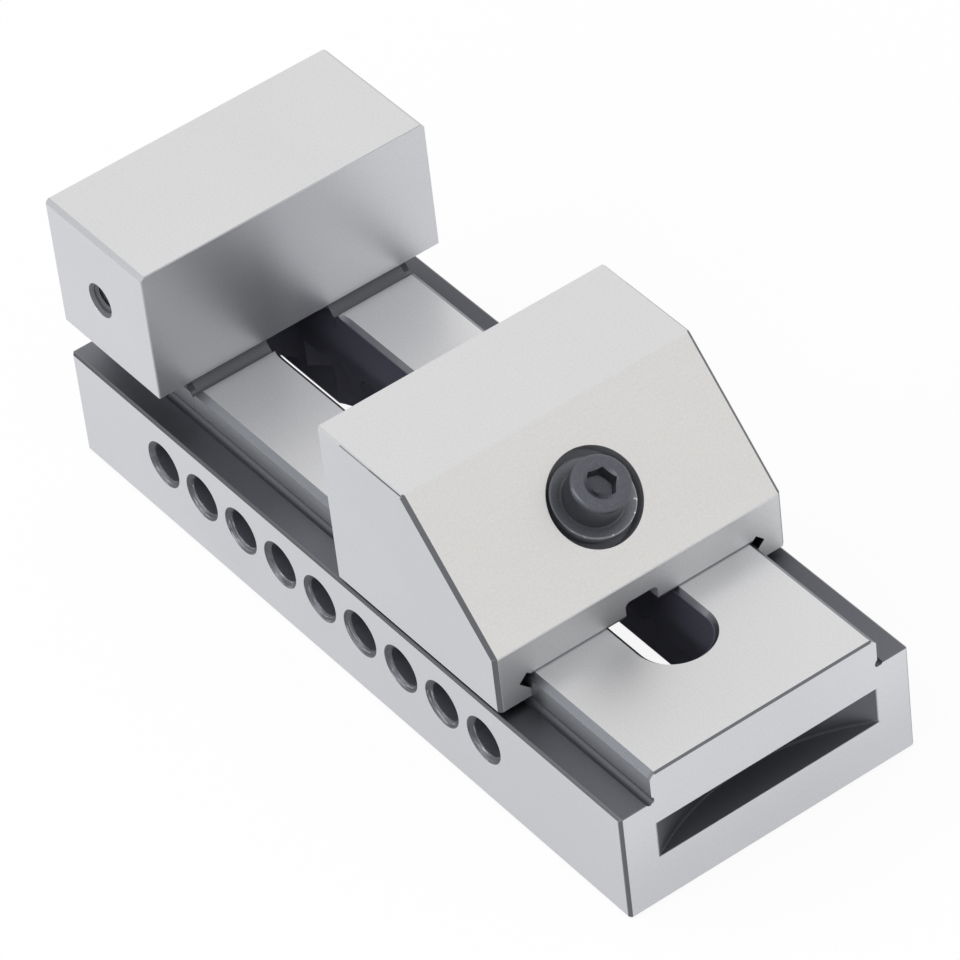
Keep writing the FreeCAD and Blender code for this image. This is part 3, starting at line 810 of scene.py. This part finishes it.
def makeClampScrew(sizes):
    firstCorner = math.radians(sizes["socketTurn"])
    turns = [firstCorner + math.tau * step / sizes["steps"] for step in range(sizes["steps"])]
    seat = sizes["seat"]
    tip = seat - sizes["length"]
    top = seat + sizes["headHeight"]
    rings = [circleRing(sizes["threadCore"] - sizes["tipBreak"], tip, turns),
             circleRing(sizes["threadCore"], tip + sizes["tipBreak"], turns),
             circleRing(sizes["threadCore"], tip + sizes["threadLength"] - sizes["threadRunout"], turns),
             circleRing(sizes["shankRadius"], tip + sizes["threadLength"], turns),
             circleRing(sizes["shankRadius"], seat, turns),
             circleRing(sizes["headRadius"] - sizes["footBreak"], seat, turns),
             circleRing(sizes["headRadius"], seat + sizes["footBreak"], turns)]
    for step in range(sizes["roundSteps"] + 1):
        angle = math.pi / 2 * step / sizes["roundSteps"]
        inset = sizes["topRounding"] * (1 - math.cos(angle))
        rise = sizes["topRounding"] * math.sin(angle)
        rings.append(circleRing(sizes["headRadius"] - inset, top - sizes["topRounding"] + rise, turns))
    flat = sizes["socketFlat"]
    mouth = flat / math.cos(math.pi / 6) + sizes["socketMouth"]
    floor = top - sizes["socketDepth"]
    rings.append(circleRing(mouth, top, turns))
    rings.append(hexagonRing(flat, top, turns, firstCorner, mouth, sizes["socketSlope"]))
    rings.append(hexagonRing(flat, floor, turns, firstCorner))
    rings.append(circleRing(flat * sizes["floorEdge"], floor, turns))
    rings.append(circleRing(flat * sizes["drillTip"], floor - flat * sizes["drillDepth"], turns))
    mesh = stitchRings("clampScrewFine", rings)
    mesh.transform(onScrew())
    piece = keepMesh("clampScrewFine", mesh, screwFinish, sizes["sharpAngle"])
    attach(piece, "clamp_screw")
    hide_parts("clamp_screw")


def makeThreadTree():
    # a ridge that winds up a cylinder: spiral path, trapezium section
    tree = bpy.data.node_groups.new("threadRidge", "GeometryNodeTree")
    tree.interface.new_socket("Geometry", in_out="OUTPUT", socket_type="NodeSocketGeometry")
    sizes = {}
    for label in ("Radius", "Pitch", "Turns", "Ridge", "Foot Width", "Crest Width", "Steps"):
        kind = "NodeSocketInt" if label == "Steps" else "NodeSocketFloat"
        sizes[label] = tree.interface.new_socket(label, in_out="INPUT", socket_type=kind).identifier
    socket = tree.interface.new_socket("Material", in_out="INPUT", socket_type="NodeSocketMaterial")
    sizes["Material"] = socket.identifier
    source = tree.nodes.new("NodeGroupInput").outputs
    height = times(tree, source["Pitch"], source["Turns"])
    spiral = {"Resolution": source["Steps"], "Rotations": source["Turns"], "Start Radius": source["Radius"],
              "End Radius": source["Radius"], "Height": height, "Reverse": False}
    path = put(tree, "GeometryNodeCurveSpiral", spiral)
    upright = put(tree, "GeometryNodeSetCurveNormal", {"Curve": path.outputs["Curve"]}, mode="Z_UP")
    trapezium = {"Bottom Width": source["Foot Width"], "Top Width": source["Crest Width"],
                 "Height": source["Ridge"], "Offset": 0.0}
    section = put(tree, "GeometryNodeCurvePrimitiveQuadrilateral", trapezium, mode="TRAPEZOID")
    swept = {"Curve": upright.outputs["Curve"], "Profile Curve": section.outputs["Curve"], "Fill Caps": True}
    skin = put(tree, "GeometryNodeCurveToMesh", swept)
    real = put(tree, "GeometryNodeRealizeInstances", {"Geometry": skin.outputs["Mesh"]})
    dressed = {"Geometry": real.outputs["Geometry"], "Material": source["Material"]}
    finished = put(tree, "GeometryNodeSetMaterial", dressed)
    put(tree, "NodeGroupOutput", {"Geometry": finished.outputs["Geometry"]})
    return tree, sizes


threadTree, threadInputs = makeThreadTree()
threadSharpAngle = 25


def makeThread(name, sizes, material, place):
    holder = bpy.data.objects.new(name + "Maker", bpy.data.meshes.new(name + "Maker"))
    bpy.context.scene.collection.objects.link(holder)
    modifier = holder.modifiers.new("thread", "NODES")
    modifier.node_group = threadTree
    for label, value in sizes.items():
        modifier[threadInputs[label]] = value
    modifier[threadInputs["Material"]] = material
    shown = holder.evaluated_get(bpy.context.evaluated_depsgraph_get())
    mesh = bpy.data.meshes.new_from_object(shown)
    mesh.name = name
    bpy.data.objects.remove(holder)
    mesh.transform(place)
    return keepMesh(name, mesh, material, threadSharpAngle)


# in metres; Steps is the number of points in one turn
screwThread = {"Radius": 0.00358, "Pitch": 0.00125, "Turns": 21.0, "Ridge": 0.0007, "Foot Width": 0.00115,
               "Crest Width": 0.0002, "Steps": 48}
stopThread = {"Radius": 0.00322, "Pitch": 0.00125, "Turns": 14.0, "Ridge": 0.0005, "Foot Width": 0.0010,
              "Crest Width": 0.0002, "Steps": 48}


def makeScrewThread():
    start = Matrix.Translation((0, 0, clampScrew["seat"] - clampScrew["length"] + clampScrew["threadStart"]))
    piece = makeThread("screwThread", screwThread, screwFinish, onScrew() @ start)
    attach(piece, "clamp_screw")


def makeStopThread():
    mouth = next(mount for mount in frame["record"]["mounts"] if mount["name"] == "stop_hole")
    inward = -Vector(mouth["axis"])
    turn = Vector((0, 0, 1)).rotation_difference(inward).to_matrix().to_4x4()
    place = Matrix.Translation(Vector(mouth["pos_m"])) @ turn
    piece = makeThread("stopHoleThread", stopThread, bodySteel, place)
    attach(piece, "vise_body")


makeClampScrew(clampScrew)
makeScrewThread()
makeStopThread()
print("screw and threads made")


# Studio

# places and sizes in metres, power in watts, underVise in millimetres
studio = {
    "floorSize": 6.0,
    "floorDrop": 0.00003,
    "floorColour": (0.95, 0.95, 0.95, 1.0),
    "ownWhite": 0.92,
    "worldFill": 0.8,
    "keyPlace": (-1.0, -1.3, 2.0),
    "keySize": (1.6, 1.6),
    "keyPower": 9.0,
    "keyTarget": (0, 0, 0.03),
    "keyAlong": (1, 0, 0),
    "stripPlace": (-0.02, -0.95, 0.6),
    "stripAlong": (0.96, 0.245, -0.135),
    "stripSize": (1.0, 0.14),
    "stripPower": 3.2,
    "stripTarget": (0.04, 0, 0.05),
    "underVise": {"low": (-95, -36.5, -1), "high": (95, 36.5, 1), "soft": 1.0},
}


def seenWhite(tree, glossShare=1.0):
    # 1 for rays that show the background: to the camera, in gloss and through glass
    path = put(tree, "ShaderNodeLightPath").outputs
    gloss = times(tree, path["Is Glossy Ray"], glossShare)
    shown = calc(tree, "MAXIMUM", path["Is Camera Ray"], gloss)
    return calc(tree, "MAXIMUM", shown, path["Is Transmission Ray"])


def makeFloor():
    half = studio["floorSize"] / 2
    low = -studio["floorDrop"]
    corners = [(-half, -half, low), (half, -half, low), (half, half, low), (-half, half, low)]
    mesh = bpy.data.meshes.new("floor")
    mesh.from_pydata(corners, [], [(0, 1, 2, 3)])
    floor = bpy.data.objects.new("floor", mesh)
    bpy.context.scene.collection.objects.link(floor)
    material = bpy.data.materials.new("paleFloor")
    material.use_nodes = True
    tree = material.node_tree
    tree.nodes.clear()
    matte = put(tree, "ShaderNodeBsdfDiffuse", {"Color": studio["floorColour"]})
    white = put(tree, "ShaderNodeEmission", {"Color": (1, 1, 1, 1), "Strength": 1.0})
    # the floor right under the vise lies in its shade, so it doesn't shine in the steel
    coordinates = put(tree, "ShaderNodeTexCoord").outputs["Object"]
    place = scaled(tree, coordinates, perMetre)
    openFloor = calc(tree, "SUBTRACT", 1.0, zoneMask(tree, place, studio["underVise"]))
    share = times(tree, seenWhite(tree, openFloor), studio["ownWhite"])
    blend = {0: share, 1: matte.outputs["BSDF"], 2: white.outputs["Emission"]}
    mixed = put(tree, "ShaderNodeMixShader", blend)
    put(tree, "ShaderNodeOutputMaterial", {"Surface": mixed.outputs["Shader"]})
    mesh.materials.append(material)


def makeWorld():
    world = bpy.data.worlds.new("studioWorld")
    bpy.context.scene.world = world
    world.use_nodes = True
    tree = world.node_tree
    tree.nodes.clear()
    strength = mixNumber(tree, seenWhite(tree), studio["worldFill"], 1.0)
    background = put(tree, "ShaderNodeBackground", {"Color": (1, 1, 1, 1), "Strength": strength})
    put(tree, "ShaderNodeOutputWorld", {"Surface": background.outputs["Background"]})


def makeLamp(name, place, size, power, target, along):
    # size is the length along the given direction and the width across it
    lamp = bpy.data.lights.new(name, "AREA")
    lamp.shape = "RECTANGLE"
    lamp.size, lamp.size_y = size
    lamp.energy = power
    lampObject = bpy.data.objects.new(name, lamp)
    bpy.context.scene.collection.objects.link(lampObject)
    back = (Vector(place) - Vector(target)).normalized()
    across = back.cross(Vector(along)).normalized()
    turn = Matrix([across.cross(back), across, back]).transposed().to_4x4()
    lampObject.matrix_world = Matrix.Translation(place) @ turn
    return lampObject


photoCamera = {
    "place": (0.89451, -0.56472, 0.98206),
    "right": (0.600627, 0.794191, -0.092245),
    "up": (-0.494125, 0.459423, 0.738086),
    "back": (0.628560, -0.397734, 0.668371),
    "lens": 259.6,
    "sensor": 36.0,
    "clip": (0.05, 50.0),
}


def makeCamera():
    camera = bpy.data.cameras.new("photoCamera")
    camera.lens = photoCamera["lens"]
    camera.sensor_width = photoCamera["sensor"]
    camera.clip_start, camera.clip_end = photoCamera["clip"]
    cameraObject = bpy.data.objects.new("photoCamera", camera)
    bpy.context.scene.collection.objects.link(cameraObject)
    axes = Matrix([photoCamera["right"], photoCamera["up"], photoCamera["back"]]).transposed()
    cameraObject.matrix_world = Matrix.Translation(photoCamera["place"]) @ axes.to_4x4()
    bpy.context.scene.camera = cameraObject


makeFloor()
makeWorld()
key = makeLamp("keyLamp", studio["keyPlace"], studio["keySize"], studio["keyPower"], studio["keyTarget"],
               studio["keyAlong"])
key.visible_glossy = False
makeLamp("stripLamp", studio["stripPlace"], studio["stripSize"], studio["stripPower"], studio["stripTarget"],
         studio["stripAlong"])
makeCamera()
bpy.context.scene.view_settings.view_transform = "Standard"
print("studio made")
